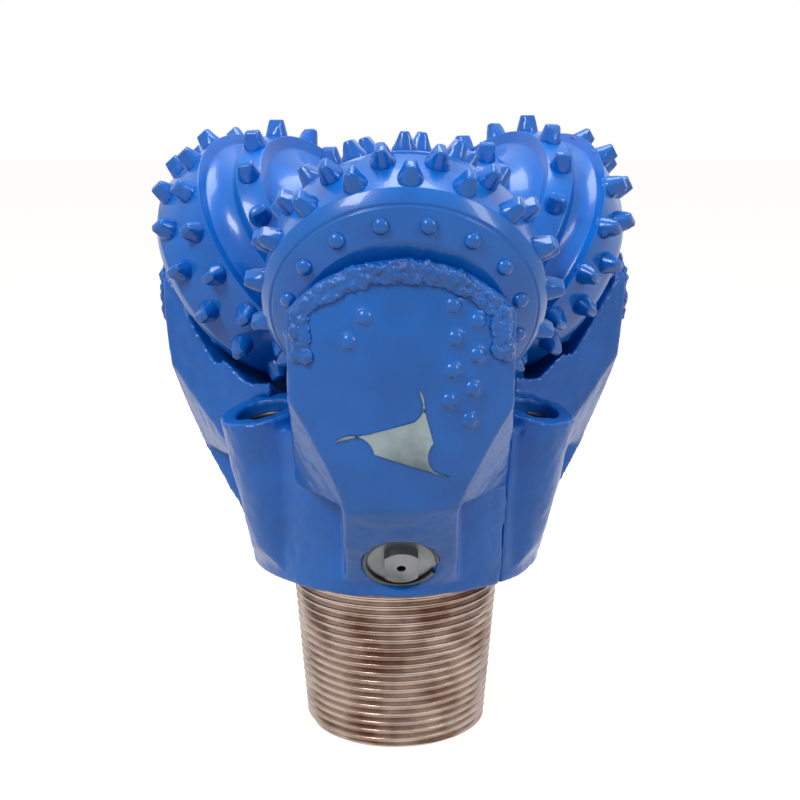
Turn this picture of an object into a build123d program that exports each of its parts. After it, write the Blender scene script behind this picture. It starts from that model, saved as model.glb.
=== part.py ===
"""Tricone rock bit, 13 3/4 inch, with tungsten carbide inserts and a 6 5/8 inch regular pin.

Three forged legs are welded into one body. Each leg carries a journal that points inwards and
up, and a cone turns on it on rollers and a ring of balls. The bit stands on its pin, so the
cones are at the top. Units are millimetres. Z is the bit's axis, the origin is the centre of
the pin's end face, and leg 1 faces -Y.
"""

import os
from math import atan2, cos, degrees, pi, radians, sin, sqrt

from build123d import *

# Overall layout
LEG_AZIMUTHS = (270, 30, 150)
SECTOR_START = -76            # weld seam of a leg, degrees from the leg's own direction
SECTOR_ANGLE = 120
REACH = 15.0                  # how far a drawn block reaches past the leg's back
FIT = 0.03                    # radial clearance of pressed and bonded pieces
SEAT = 0.1                    # gap under pieces laid on a curved surface
RUNNING = 0.05                # radial clearance of the bearing

# Pin: 6 5/8 inch regular rotary shouldered connection
PIN_LENGTH = 127.0
PIN_CREST_END = 65.52         # crest radius at the small end
PIN_TAPER = 1 / 12            # radius gained per length
THREAD_HEIGHT = 3.75
PIN_ROOT_END = PIN_CREST_END - THREAD_HEIGHT
PIN_BASE_RADIUS = 75.8
PIN_BASE_LENGTH = 9.0
PIN_SPIGOT = 3.0              # how far the collar enters the shank
PIN_CHAMFER = 2.0
WATER_BORE = 44.45
PLENUM_TOP = 172.0
PLENUM_WALL_TOP = 138.0

# Shank
SHANK_RADIUS = 104.5
SHANK_CHAMFER = 1.5
SHANK_STRAIGHT = 8.0
SHANK_TOP = 238.0
SHANK_TOP_RADIUS = 113.0
THROAT_HEIGHT = 226.0
THROAT_RADIUS = 40.0

# Leg column
LEG_RADIUS = 168.0            # back of the leg, 6.6 inside the wall of the 13 3/4 inch hole
LEG_CENTRE = 4.0              # the leg is a little off centre, towards the cone's offset
LEG_HALF_WIDTH = 70.0
SHIRTTAIL_TOP = 360.0
SHIRTTAIL_SHOULDER = 326.0
BEND_STEP = 20.0              # how far inside the back its bend to the shank lies
MIDDLE_STEP = 6.5             # and a point half way up its curve
LEG_BEND = (LEG_RADIUS - BEND_STEP, 200.0)
LEG_BACK = (LEG_RADIUS - MIDDLE_STEP, 257.0)
FOOT_HALF_WIDTH = 37.6
FOOT_TOP = 212.0
FLANK_BOTTOM = 200.0
FLANK_HIGH = (166.0, 70.0, 290.0)    # three points of the flank's plane
FLANK_LOW = (150.0, 37.6, 212.0)
FLANK_DEEP = (82.0, 70.0, 196.0)
LEG_INNER = 58.0

# Journal and bearing, measured along the journal axis from where it meets the bit's axis
JOURNAL_ANGLE = 33.3
JOURNAL_HEIGHT = 406.0
CONE_OFFSET = 6.0
BACKFACE = 161.0
BACKFACE_GAP = 1.6
JOURNAL_ROOT_RADIUS = 48.0
JOURNAL_ROOT_DEPTH = 4.0      # how far the journal's root runs into the leg
JOURNAL_RADIUS = 42.0
ROLLER_RADIUS = 6.0
ROLLER_COUNT = 22
ROLLER_END = 144.0
ROLLER_LENGTH = 36.0
BALL_RADIUS = 8.0
BALL_COUNT = 16
BALL_CIRCLE = 43.0
BALL_STATION = 94.0
FLANGE_RADIUS = 41.0
PILOT_RADIUS = 24.0
PILOT_SHOULDER = 84.0
PILOT_END = 62.0
BUSHING_WALL = 4.0
SEAL_RADIUS = 4.6
SEAL_STATION = 152.0
CAVITY_GAP = 0.4

# Ball hole and its plug
BALL_HOLE_RISE = 5.5          # above the lowest point of the ball circle
BALL_HOLE_RADIUS = 8.6
BALL_HOLE_END = 57.0          # distance from the bit's axis
PLUG_HEAD_RADIUS = 11.2
PLUG_HEAD_DEPTH = 9.0

# Carbide inserts
INSERT_RADIUS = 8.0
INSERT_GRIP = 12.0
INSERT_REACH = 11.5
INSERT_CREST = 2.4            # half thickness of the chisel's crest
GAUGE_COUNT = 17
HEEL_RADIUS = 5.6
HEEL_COUNT = 16
HEEL_STATION = (157.2, 72.6)
DOME_HEIGHT = 4.0
DOME_GRIP = 9.0

# Heel of every cone: (station, radius) pairs from the back face to the gauge land
CONE_BACK = [(161.0, 63.5), (153.0, 82.0), (150.6, 84.6), (143.7, 89.6)]

# Each cone's gauge land ends at a (station, radius). Its inner rows are (count, station, radius,
# size), each on a land that lies level at the top of the cone. The rows of each cone run in the
# grooves of the other two. The nose is a (station, radius).
CONES = (
    {"gauge_end": (111.5, 101.0), "nose": (10.5, 6.0),
     "rows": [(16, 95.3, 93.5, 1.0), (11, 58.7, 57.1, 1.0), (4, 24.0, 17.3, 0.7)]},
    {"gauge_end": (111.5, 101.0), "nose": (33.5, 28.0),
     "rows": [(15, 83.2, 84.2, 1.0), (9, 50.1, 46.0, 1.0)]},
    {"gauge_end": (103.0, 95.5), "nose": (18.3, 10.0),
     "rows": [(13, 68.5, 70.8, 1.0), (6, 34.9, 28.0, 1.0)]},
)
GAUGE_SHARES = ((0.24, 0.1), (0.76, 0.6))    # place across the gauge land, share of a step round
LAND_HALF_WIDTH = 9.1
GROOVE_DEPTH = 9.4
GROOVE_WALL = 0.14            # share of a groove's width that its wall takes
GROOVE_CORNER = 0.78          # share of a groove's depth at the foot of its wall

# Buttons on the leg's back: (sideways, height)
BUTTONS = [(-22.2, 325), (-32, 310), (31.5, 332), (33, 312), (31.7, 292), (29.6, 273),
           (47.1, 322), (47.2, 301), (44.4, 280), (42.4, 260)]
BUTTON_RADIUS = 5.5
BUTTON_HEIGHT = 3.2
BUTTON_GRIP = 9.0

# Weld bead of hard metal along the shirttail
BEAD_WIDTH = 12.0
BEAD_HEIGHT = 2.2
BEAD_FOOT = 306.0

# Plate on the back of leg 1
PLATE_TOP = 292.0
PLATE_FOOT = 222.5
PLATE_HALF_WIDTH = 61.0
PLATE_ROUND = 9.0
PLATE_THICKNESS = 1.0

# Nozzle boss, on the seam side of each leg
BOSS_AZIMUTH = -58.0
BOSS_RADIUS = 30.0
BOSS_FOOT = (76.0, 120.0)     # radius and height of the boss's axis at its foot
BOSS_HEAD = (107.0, 246.0)
NOZZLE_RADIUS = 16.5
NOZZLE_LENGTH = 30.0
NOZZLE_DEPTH = 12.0
NOZZLE_MOUTH = 18.0
NOZZLE_ORIFICE = 6.4
NOZZLE_THROAT = 12.5
RETAINER_WIRE = 1.6
NOZZLE_SEAL_RADIUS = 2.2
PASSAGE_RADIUS = 12.5

# Grease reservoir in the foot of each leg
RESERVOIR_HEIGHT = 153.5
RESERVOIR_RADIUS = 24.0
RESERVOIR_DEPTH = 44.0
RECESS = 5.0                  # how far the cap lies below the leg's surface
CUP_WALL = 1.6
CAP_THICKNESS = 5.0
RUBBER = 2.0
DIAPHRAGM_RISE = 9.0
CAP_BAR_HALF_WIDTH = 11.0
CAP_BAR_HEIGHT = 7.0
CAP_HOLE = 3.0
GREASE_HOLE = 3.5


def up(angle):
    """Sine and cosine of an angle in degrees."""
    return sin(radians(angle)), cos(radians(angle))


SIN_J, COS_J = up(JOURNAL_ANGLE)
JOURNAL = Plane(origin=(0, CONE_OFFSET, JOURNAL_HEIGHT), x_dir=(SIN_J, 0, COS_J),
                z_dir=(COS_J, 0, -SIN_J)).location
BALL_HOLE_HEIGHT = JOURNAL_HEIGHT - BALL_STATION * SIN_J - BALL_CIRCLE * COS_J + BALL_HOLE_RISE


def spin_solid(points, angle=360):
    """Solid of revolution about Z from (radius, height) points."""
    face = Plane.XZ * make_face(Polyline(*points, close=True))
    return revolve(face, Axis.Z, angle)


def spin_edges(edges, angle=360):
    """Solid of revolution about Z from joined edges drawn as (radius, height)."""
    return revolve(Plane.XZ * make_face(edges), Axis.Z, angle)


def turned(shape, azimuth):
    return Rot(0, 0, azimuth) * shape


def solids_of(shape):
    """The shape's solids as one flat compound."""
    return Compound(children=list(shape.solids()))


def cylinder_along(start, direction, length, radius):
    """Cylinder from a start point along a direction."""
    place = Plane(origin=start, z_dir=direction).location
    return place * Cylinder(radius, length, align=(Align.CENTER, Align.CENTER, Align.MIN))


# ---------------------------------------------------------------- leg

def back_edges(inner, offset=0.0):
    """Outline of the leg's back as (radius, height), closed at an inner radius."""
    foot = (SHANK_RADIUS + offset, PIN_LENGTH + SHANK_STRAIGHT)
    bend = (LEG_BEND[0] + offset, LEG_BEND[1])
    back = (LEG_BACK[0] + offset, LEG_BACK[1])
    top = (LEG_RADIUS + offset, SHIRTTAIL_SHOULDER)
    head = (LEG_RADIUS + offset, SHIRTTAIL_TOP + 5)
    start = (inner, head[1])
    end = (inner, PIN_LENGTH)
    heel = (SHANK_RADIUS - SHANK_CHAMFER + offset, PIN_LENGTH)
    side = (SHANK_RADIUS + offset, PIN_LENGTH + SHANK_CHAMFER)
    return [Line(end, heel), Line(heel, side), Line(side, foot), Line(foot, bend),
            ThreePointArc(bend, back, top), Line(top, head), Line(head, start), Line(start, end)]


def back_solid(offset=0.0, inner=LEG_INNER):
    return revolve(Plane.XZ * make_face(back_edges(inner, offset)), Axis.Z, 360)


def back_radius(height):
    """Radius of the leg's back at a height, found on its arc or taper."""
    (r1, z1), (r2, z2), (r3, z3) = LEG_BEND, LEG_BACK, (LEG_RADIUS, SHIRTTAIL_SHOULDER)
    if height >= z3:
        return LEG_RADIUS
    if height <= z1:
        foot = PIN_LENGTH + SHANK_STRAIGHT
        share = (height - foot) / (z1 - foot)
        return SHANK_RADIUS + share * (r1 - SHANK_RADIUS)
    d = 2 * (r1 * (z2 - z3) + r2 * (z3 - z1) + r3 * (z1 - z2))
    q1, q2, q3 = r1 * r1 + z1 * z1, r2 * r2 + z2 * z2, r3 * r3 + z3 * z3
    cr = (q1 * (z2 - z3) + q2 * (z3 - z1) + q3 * (z1 - z2)) / d
    cz = (q1 * (r3 - r2) + q2 * (r1 - r3) + q3 * (r2 - r1)) / d
    radius = sqrt((r1 - cr) ** 2 + (z1 - cz) ** 2)
    return cr + sqrt(radius * radius - (height - cz) ** 2)


def back_point(side, height, lift=0.0):
    """Point on the leg's curved back, and the outward direction there."""
    radius = back_radius(height)
    slope = (back_radius(height + 0.5) - back_radius(height - 0.5))
    turn = side / radius
    x, y = cos(turn), sin(turn)
    norm = sqrt(1 + slope * slope)
    out = Vector(x / norm, y / norm, -slope / norm)
    return Vector(radius * x, radius * y, height) + out * lift, out


def tombstone(inset=0.0, foot=FLANK_BOTTOM):
    """The leg's face seen from outside: straight sides under an arched shirttail."""
    half = LEG_HALF_WIDTH - inset
    shoulder = SHIRTTAIL_SHOULDER - inset * 0.4
    top = SHIRTTAIL_TOP - inset
    edges = [Line((-half, foot), (-half, shoulder)),
             ThreePointArc((-half, shoulder), (0, top), (half, shoulder)),
             Line((half, shoulder), (half, foot)), Line((half, foot), (-half, foot))]
    return make_face(edges)


def facing(face, near, far):
    """Extrudes a face drawn as (sideways, height) along the leg's direction."""
    place = Plane(origin=(near, LEG_CENTRE, 0), x_dir=(0, 1, 0), z_dir=(1, 0, 0)).location
    return place * extrude(face, far - near)


def flank_cut(side):
    """Block that cuts the leg's flank along the plane of its three points."""
    points = [Vector(p[0], p[1] * side + LEG_CENTRE, p[2])
              for p in (FLANK_HIGH, FLANK_LOW, FLANK_DEEP)]
    normal = (points[0] - points[1]).cross(points[0] - points[2]).normalized()
    if normal.Y * side < 0:
        normal = -normal
    block = Plane(origin=points[1], z_dir=normal).location * Box(
        400, 400, 120, align=(Align.CENTER, Align.CENTER, Align.MIN))
    window = Pos(0, LEG_CENTRE, FLANK_BOTTOM) * Box(
        500, 300, 200, align=(Align.CENTER, Align.CENTER, Align.MIN))
    return block & window


def boss_axis():
    """Foot and unit direction of the nozzle boss, in the leg's frame."""
    s, c = up(BOSS_AZIMUTH)
    foot = Vector(BOSS_FOOT[0] * c, BOSS_FOOT[0] * s, BOSS_FOOT[1])
    head = Vector(BOSS_HEAD[0] * c, BOSS_HEAD[0] * s, BOSS_HEAD[1])
    return foot, head, (head - foot).normalized()


def reservoir_frame():
    """Location on the foot's face, with Z pointing out of the leg."""
    point, out = back_point(LEG_CENTRE, RESERVOIR_HEIGHT)
    return Plane(origin=point, x_dir=(0, 1, 0), z_dir=out).location


def shank_sector():
    """One third of the shank above the shoulder, with the floor of the plenum."""
    outline = [(WATER_BORE, PIN_LENGTH), (SHANK_RADIUS - SHANK_CHAMFER, PIN_LENGTH),
               (SHANK_RADIUS, PIN_LENGTH + SHANK_CHAMFER),
               (SHANK_RADIUS, PIN_LENGTH + SHANK_STRAIGHT), (SHANK_TOP_RADIUS, SHANK_TOP),
               (THROAT_RADIUS, THROAT_HEIGHT), (0, THROAT_HEIGHT), (0, PLENUM_TOP),
               (WATER_BORE, PLENUM_WALL_TOP)]
    return turned(spin_solid(outline, SECTOR_ANGLE), SECTOR_START)


def pin():
    """Pin: the cone of the thread's root under a plain collar that enters the shank."""
    top = PIN_LENGTH + PIN_SPIGOT - SEAT
    base = PIN_LENGTH - PIN_BASE_LENGTH
    outline = [(WATER_BORE, 0), (PIN_ROOT_END - PIN_CHAMFER, 0),
               (PIN_ROOT_END + PIN_TAPER * PIN_CHAMFER, PIN_CHAMFER),
               (PIN_ROOT_END + PIN_TAPER * base, base), (PIN_BASE_RADIUS, base + 3),
               (PIN_BASE_RADIUS, top), (WATER_BORE, top)]
    return spin_solid(outline)


def cone_clearance():
    """The room that the turning cone and its inserts need, as a solid to cut away."""
    gap = BACKFACE_GAP
    tip = INSERT_REACH + 3.0
    outline = [(0, -60), (60, -60), (118, 78), (103 + tip, 104), (102 + tip, 118),
               (91 + tip, 146), (88.5, 153 + gap), (87, 161 + gap), (68.5, 163.5 + gap),
               (66, BACKFACE + gap), (0, BACKFACE + gap)]
    return JOURNAL * spin_solid(outline)


def journal():
    """Stepped journal with its roller track, ball race and pilot pin."""
    track = ROLLER_END - ROLLER_LENGTH - 2 * CAVITY_GAP
    root = BACKFACE + BACKFACE_GAP + JOURNAL_ROOT_DEPTH
    outline = [(0, PILOT_END), (PILOT_RADIUS - 1, PILOT_END), (PILOT_RADIUS, PILOT_END + 1),
               (PILOT_RADIUS, PILOT_SHOULDER), (FLANGE_RADIUS, PILOT_SHOULDER),
               (FLANGE_RADIUS, track - 1.5), (JOURNAL_RADIUS + 3.4, track - 1.5),
               (JOURNAL_RADIUS + 3.4, track), (JOURNAL_RADIUS, track),
               (JOURNAL_RADIUS, ROLLER_END + CAVITY_GAP), (JOURNAL_ROOT_RADIUS, ROLLER_END + CAVITY_GAP),
               (JOURNAL_ROOT_RADIUS, root), (0, root)]
    race = Pos(0, 0, BALL_STATION) * Torus(BALL_CIRCLE, BALL_RADIUS + RUNNING)
    return JOURNAL * (spin_solid(outline) - race)


def ball_hole():
    start = (LEG_RADIUS + 5, LEG_CENTRE, BALL_HOLE_HEIGHT)
    hole = cylinder_along(start, (-1, 0, 0), start[0] - BALL_HOLE_END, BALL_HOLE_RADIUS + FIT)
    seat = cylinder_along(start, (-1, 0, 0), 5 + PLUG_HEAD_DEPTH, PLUG_HEAD_RADIUS + FIT)
    return hole + seat


def button_pocket(side, height, radius, grip):
    point, out = back_point(side + LEG_CENTRE, height)
    return cylinder_along(point - out * grip, out, grip + 10, radius + FIT)


def nozzle_bore():
    """Stepped bore for the nozzle, its seal and retaining ring, and the way in from the plenum."""
    foot, head, along = boss_axis()
    s, c = up(BOSS_AZIMUTH)
    place = Plane(origin=head, z_dir=along).location
    seat = -NOZZLE_DEPTH - NOZZLE_LENGTH
    bore = spin_solid([(0, seat), (NOZZLE_RADIUS + FIT, seat), (NOZZLE_RADIUS + FIT, -NOZZLE_DEPTH),
                       (NOZZLE_MOUTH, -NOZZLE_DEPTH), (NOZZLE_MOUTH, 30), (0, 30)])
    groove = Pos(0, 0, RETAINER_WIRE - NOZZLE_DEPTH) * Torus(NOZZLE_MOUTH, RETAINER_WIRE + FIT)
    gland = Pos(0, 0, seat + NOZZLE_LENGTH / 2) * Torus(NOZZLE_RADIUS, NOZZLE_SEAL_RADIUS + FIT)
    start = head + along * (seat + 2)
    inner = Vector(24 * c, 24 * s, PLENUM_WALL_TOP + 8)
    passage = cylinder_along(start, inner - start, (inner - start).length, PASSAGE_RADIUS)
    return place * (bore + groove + gland) + passage


def reservoir_bore():
    """Bore for the grease reservoir, with its snap ring groove and the drilled way to the bearing."""
    bore = Pos(0, 0, -RESERVOIR_DEPTH) * Cylinder(
        RESERVOIR_RADIUS + FIT, RESERVOIR_DEPTH + 40, align=(Align.CENTER, Align.CENTER, Align.MIN))
    groove = Pos(0, 0, -RECESS + RETAINER_WIRE) * Torus(RESERVOIR_RADIUS, RETAINER_WIRE + FIT)
    frame = reservoir_frame()
    start = (frame * Pos(0, 0, -RESERVOIR_DEPTH + 6)).position
    end = Vector(126, LEG_CENTRE, BALL_HOLE_HEIGHT)
    drilled = cylinder_along(start, end - start, (end - start).length, GREASE_HOLE)
    return frame * (bore + groove) + drilled


def nozzle_boss(extra=0.0):
    """Round boss that carries the nozzle, from the shoulder up."""
    base, head, along = boss_axis()
    boss = cylinder_along(base - along * 20, along, (head - base).length + 20, BOSS_RADIUS + extra)
    room = Pos(0, 0, PIN_LENGTH) * Box(600, 600, 200, align=(Align.CENTER, Align.CENTER, Align.MIN))
    return boss & room & back_solid(inner=BOSS_RADIUS)


def inner_hollow():
    """Plenum and water bore, with the recess that the pin's collar enters."""
    recess = PIN_BASE_RADIUS + FIT
    seat = PIN_LENGTH + PIN_SPIGOT
    return spin_solid([(0, 0), (recess, 0), (recess, seat), (WATER_BORE, seat),
                       (WATER_BORE, PLENUM_WALL_TOP), (0, PLENUM_TOP)])


def leg():
    """One leg forging, machined, in its own direction along +X."""
    column = facing(tombstone(), LEG_INNER, LEG_RADIUS + REACH) & back_solid()
    for side in (-1, 1):
        column = column - flank_cut(side)
    column = column - turned(shank_sector(), SECTOR_ANGLE)
    foot = facing(make_face(Polyline((-FOOT_HALF_WIDTH, PIN_LENGTH), (FOOT_HALF_WIDTH, PIN_LENGTH),
                                     (FOOT_HALF_WIDTH, FOOT_TOP), (-FOOT_HALF_WIDTH, FOOT_TOP),
                                     close=True)), LEG_INNER, LEG_RADIUS + REACH) & back_solid()
    body = shank_sector() + foot + column - turned(nozzle_boss(SEAT), SECTOR_ANGLE)
    body = body + nozzle_boss() - inner_hollow() - cone_clearance()
    body = body + journal()
    body = body - ball_hole() - nozzle_bore() - reservoir_bore()
    for side, height in BUTTONS:
        body = body - button_pocket(side, height, BUTTON_RADIUS, BUTTON_GRIP)
    return body


def domed_button(radius, grip, height):
    """Round carbide button: a plain shank under a shallow spherical dome."""
    ball = (radius * radius + height * height) / (2 * height)
    shank = Pos(0, 0, -grip) * Cylinder(radius, grip + height,
                                        align=(Align.CENTER, Align.CENTER, Align.MIN))
    return shank & (Pos(0, 0, height - ball) * Sphere(ball) + Pos(0, 0, -grip - 1) * Cylinder(
        radius + 1, grip + 1, align=(Align.CENTER, Align.CENTER, Align.MIN)))


def leg_buttons():
    made = []
    for side, height in BUTTONS:
        point, out = back_point(side + LEG_CENTRE, height)
        made.append(Plane(origin=point, z_dir=out).location
                    * domed_button(BUTTON_RADIUS, BUTTON_GRIP, BUTTON_HEIGHT))
    return Compound(children=made)


def ball_plug():
    """Plug that closes the ball hole; its inner end is shaped to the ball race."""
    start = (back_radius(BALL_HOLE_HEIGHT) - 0.6, LEG_CENTRE, BALL_HOLE_HEIGHT)
    length = start[0] - BALL_HOLE_END - 2
    rod = cylinder_along(start, (-1, 0, 0), length, BALL_HOLE_RADIUS)
    plug = rod + cylinder_along(start, (-1, 0, 0), PLUG_HEAD_DEPTH - 3, PLUG_HEAD_RADIUS)
    room = JOURNAL * (Pos(0, 0, BALL_STATION) * Torus(BALL_CIRCLE, BALL_RADIUS + RUNNING))
    inside = JOURNAL * (Pos(0, 0, BALL_STATION) * Cylinder(FLANGE_RADIUS - 0.5, 2 * LEG_RADIUS))
    return max(((plug & inside) - room).solids(), key=lambda s: s.volume)


def hard_metal_bead():
    """Bead welded on the edge of the shirttail."""
    band = tombstone(0.6, BEAD_FOOT) - tombstone(BEAD_WIDTH, BEAD_FOOT - 5)
    skin = back_solid(BEAD_HEIGHT) - back_solid(SEAT)
    return facing(band, LEG_INNER, LEG_RADIUS + REACH) & skin


def plate():
    """Thin bare plate, a triangle with round corners, on the back of leg 1."""
    corners = [(-PLATE_HALF_WIDTH, PLATE_FOOT), (PLATE_HALF_WIDTH, PLATE_FOOT), (0, PLATE_TOP + 6)]
    outline = make_face(Polyline(*corners, close=True))
    outline = fillet(outline.vertices(), PLATE_ROUND)
    skin = back_solid(PLATE_THICKNESS) - back_solid(SEAT)
    return facing(outline, LEG_INNER, LEG_RADIUS + REACH) & skin


# ---------------------------------------------------------------- nozzle and grease reservoir

def nozzle_place():
    foot, head, along = boss_axis()
    return Plane(origin=head, z_dir=along).location


def nozzle():
    seat = -NOZZLE_DEPTH - NOZZLE_LENGTH
    outline = [(NOZZLE_THROAT, seat), (NOZZLE_RADIUS, seat), (NOZZLE_RADIUS, -NOZZLE_DEPTH),
               (NOZZLE_ORIFICE, -NOZZLE_DEPTH), (NOZZLE_ORIFICE, -NOZZLE_DEPTH - 10)]
    gland = Pos(0, 0, seat + NOZZLE_LENGTH / 2) * Torus(NOZZLE_RADIUS, NOZZLE_SEAL_RADIUS + FIT)
    return nozzle_place() * (spin_solid(outline) - gland)


def nozzle_seal():
    middle = -NOZZLE_DEPTH - NOZZLE_LENGTH / 2
    return nozzle_place() * (Pos(0, 0, middle) * Torus(NOZZLE_RADIUS, NOZZLE_SEAL_RADIUS))


def gapped_ring(radius, wire, gap_angle):
    """Open wire ring that springs into a groove."""
    section = Plane.XZ * (Pos(radius, 0) * Circle(wire))
    return revolve(section, Axis.Z, 360 - gap_angle)


def nozzle_retainer():
    return nozzle_place() * (Pos(0, 0, RETAINER_WIRE - NOZZLE_DEPTH)
                             * gapped_ring(NOZZLE_MOUTH, RETAINER_WIRE, 30))


def reservoir_cup():
    """Steel cup that holds the diaphragm and the grease."""
    top = -RECESS - CAP_THICKNESS
    floor = -RESERVOIR_DEPTH
    inner = RESERVOIR_RADIUS - CUP_WALL
    outline = [(4, floor), (RESERVOIR_RADIUS, floor), (RESERVOIR_RADIUS, top), (inner, top),
               (inner, floor + CUP_WALL), (4, floor + CUP_WALL)]
    return reservoir_frame() * spin_solid(outline)


def diaphragm():
    """Rubber sock inside the cup, open towards the cap."""
    top = -RECESS - CAP_THICKNESS
    outer = RESERVOIR_RADIUS - CUP_WALL - FIT
    inner = outer - RUBBER
    floor = -RESERVOIR_DEPTH + CUP_WALL + DIAPHRAGM_RISE
    outline = [(inner, top), (outer, top), (outer, floor + 12), (outer * 0.7, floor), (0, floor),
               (0, floor + RUBBER), (inner * 0.68, floor + RUBBER), (inner, floor + 12)]
    return reservoir_frame() * spin_solid(outline)


def reservoir_cap():
    """Cap with a flat-sided crown and a relief hole."""
    disc = Pos(0, 0, -RECESS - CAP_THICKNESS) * Cylinder(
        RESERVOIR_RADIUS, CAP_THICKNESS, align=(Align.CENTER, Align.CENTER, Align.MIN))
    crown = Pos(0, 0, -RECESS) * Cylinder(
        RESERVOIR_RADIUS * 0.62, CAP_BAR_HEIGHT, align=(Align.CENTER, Align.CENTER, Align.MIN))
    bar = Pos(0, 0, -RECESS) * Box(2 * CAP_BAR_HALF_WIDTH, 2 * RESERVOIR_RADIUS, CAP_BAR_HEIGHT,
                                   align=(Align.CENTER, Align.CENTER, Align.MIN))
    hole = Pos(0, 0, -RECESS) * Cylinder(CAP_HOLE, 60)
    groove = Pos(0, 0, -RECESS + RETAINER_WIRE) * Torus(RESERVOIR_RADIUS, RETAINER_WIRE + FIT)
    return reservoir_frame() * (disc + (crown & bar) - hole - groove)


def cap_snap_ring():
    return reservoir_frame() * (Pos(0, 0, -RECESS + RETAINER_WIRE)
                                * gapped_ring(RESERVOIR_RADIUS, RETAINER_WIRE, 26))


# ---------------------------------------------------------------- cone and bearing

def lands_of(cone):
    """Outer and inner end of each land as (station, radius), from the gauge to the nose."""
    lands = [(CONE_BACK[-1], cone["gauge_end"])]
    for count, station, radius, size in cone["rows"]:
        along = LAND_HALF_WIDTH * size * COS_J
        rise = LAND_HALF_WIDTH * size * SIN_J
        lands.append(((station + along, radius + rise), (station - along, radius - rise)))
    return lands


def groove_edges(start, end):
    """Round-bottomed groove between two lands, drawn as (radius, station)."""
    run = end - start
    down = Vector(run.Y, -run.X).normalized() * GROOVE_DEPTH
    if down.X > 0:
        down = -down
    shallow = min(1, run.length / 24)
    first = start + run * GROOVE_WALL + down * (GROOVE_CORNER * shallow)
    last = end - run * GROOVE_WALL + down * (GROOVE_CORNER * shallow)
    middle = (first + last) / 2 + down * ((1 - GROOVE_CORNER) * shallow)
    return [Line(start, first), ThreePointArc(first, middle, last), Line(last, end)]


def shell_edges(cone):
    """Closed outline of a cone's shell as (radius, station)."""
    lands = [(Vector(a[1], a[0]), Vector(b[1], b[0])) for a, b in lands_of(cone)]
    nose_station, nose_radius = cone["nose"]
    race = JOURNAL_RADIUS + 2 * ROLLER_RADIUS + 2 * RUNNING
    seal = JOURNAL_ROOT_RADIUS + 2 * SEAL_RADIUS
    bush = PILOT_RADIUS + BUSHING_WALL + RUNNING + FIT
    back = [Vector(radius, station) for station, radius in CONE_BACK]
    edges = [Line(a, b) for a, b in zip(back, back[1:])]
    for number, (outer, inner) in enumerate(lands):
        if number:
            edges += groove_edges(lands[number - 1][1], outer)
        edges.append(Line(outer, inner))
    shoulder = Vector(nose_radius, nose_station + 4)
    flat = Vector(nose_radius * 0.5, nose_station - 1)
    tip = Vector(0, nose_station - 1)
    edges.append(Line(lands[-1][1], shoulder))
    edges.append(ThreePointArc(shoulder, Vector(nose_radius * 0.86, nose_station + 0.4), flat))
    edges.append(Line(flat, tip))
    bottom = PILOT_END - CAVITY_GAP
    flange = PILOT_SHOULDER - CAVITY_GAP
    roller = ROLLER_END - ROLLER_LENGTH - CAVITY_GAP
    lip = JOURNAL_ROOT_RADIUS + 1
    low = SEAL_STATION - SEAL_RADIUS - FIT
    high = SEAL_STATION + SEAL_RADIUS + FIT
    inside = [(0, bottom), (bush, bottom), (bush, flange), (FLANGE_RADIUS + 1, flange),
              (FLANGE_RADIUS + 6, roller), (race, roller), (race, ROLLER_END + CAVITY_GAP),
              (lip, ROLLER_END + CAVITY_GAP), (lip, low), (seal, low), (seal, high), (lip, high),
              (lip, BACKFACE)]
    path = [tip] + [Vector(*spot) for spot in inside] + [back[0]]
    return edges + [Line(a, b) for a, b in zip(path, path[1:])]


def gauge_rows(cone):
    """(count, station, radius, lean, turn, size) of the two staggered rows on the gauge land."""
    (s0, r0), (s1, r1) = lands_of(cone)[0]
    lean = 90 - degrees(atan2(r1 - r0, s0 - s1))
    return [(GAUGE_COUNT, s0 + share * (s1 - s0), r0 + share * (r1 - r0), lean, turn, 1.0)
            for share, turn in GAUGE_SHARES]


def inner_rows(cone):
    return [(count, station, radius, 90 + JOURNAL_ANGLE, 0.3 * number, size)
            for number, (count, station, radius, size) in enumerate(cone["rows"])]


def row_places(row):
    """Location of each insert of a row, in the journal's frame, with Z out of the shell."""
    count, station, radius, lean, turn, size = row
    for number in range(count):
        yield (Rot(0, 0, 360 * (number + turn) / count) * Pos(radius, 0, station)
               * Rot(0, lean, 0))


def chisel(size):
    """Chisel insert: a round shank, a cone, and two flats that meet in a blunt crest."""
    waist = 2.0
    body = spin_solid([(0, -INSERT_GRIP), (INSERT_RADIUS, -INSERT_GRIP), (INSERT_RADIUS, 0.6),
                       (INSERT_RADIUS - waist * 0.25, waist), (INSERT_RADIUS * 0.52, INSERT_REACH),
                       (0, INSERT_REACH)])
    for side in (90, 270):
        wedge = extrude(Plane.XZ * make_face(Polyline(
            (INSERT_CREST, INSERT_REACH + 1), (INSERT_RADIUS + 1.5, waist),
            (INSERT_RADIUS + 10, waist), (INSERT_RADIUS + 10, INSERT_REACH + 1), close=True)),
            20, both=True)
        body = body - Rot(0, 0, side) * wedge
    return scale(body, size)


def chisel_pocket(size):
    return Pos(0, 0, -INSERT_GRIP * size) * Cylinder(
        INSERT_RADIUS * size + FIT, (INSERT_GRIP + 8) * size,
        align=(Align.CENTER, Align.CENTER, Align.MIN))


def heel_places():
    (s0, r0), (s1, r1) = CONE_BACK[0], CONE_BACK[1]
    slope = degrees(atan2(r1 - r0, s0 - s1))
    row = (HEEL_COUNT, HEEL_STATION[0], HEEL_STATION[1], 90 - slope, 0.5, 1.0)
    return row_places(row)


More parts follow.
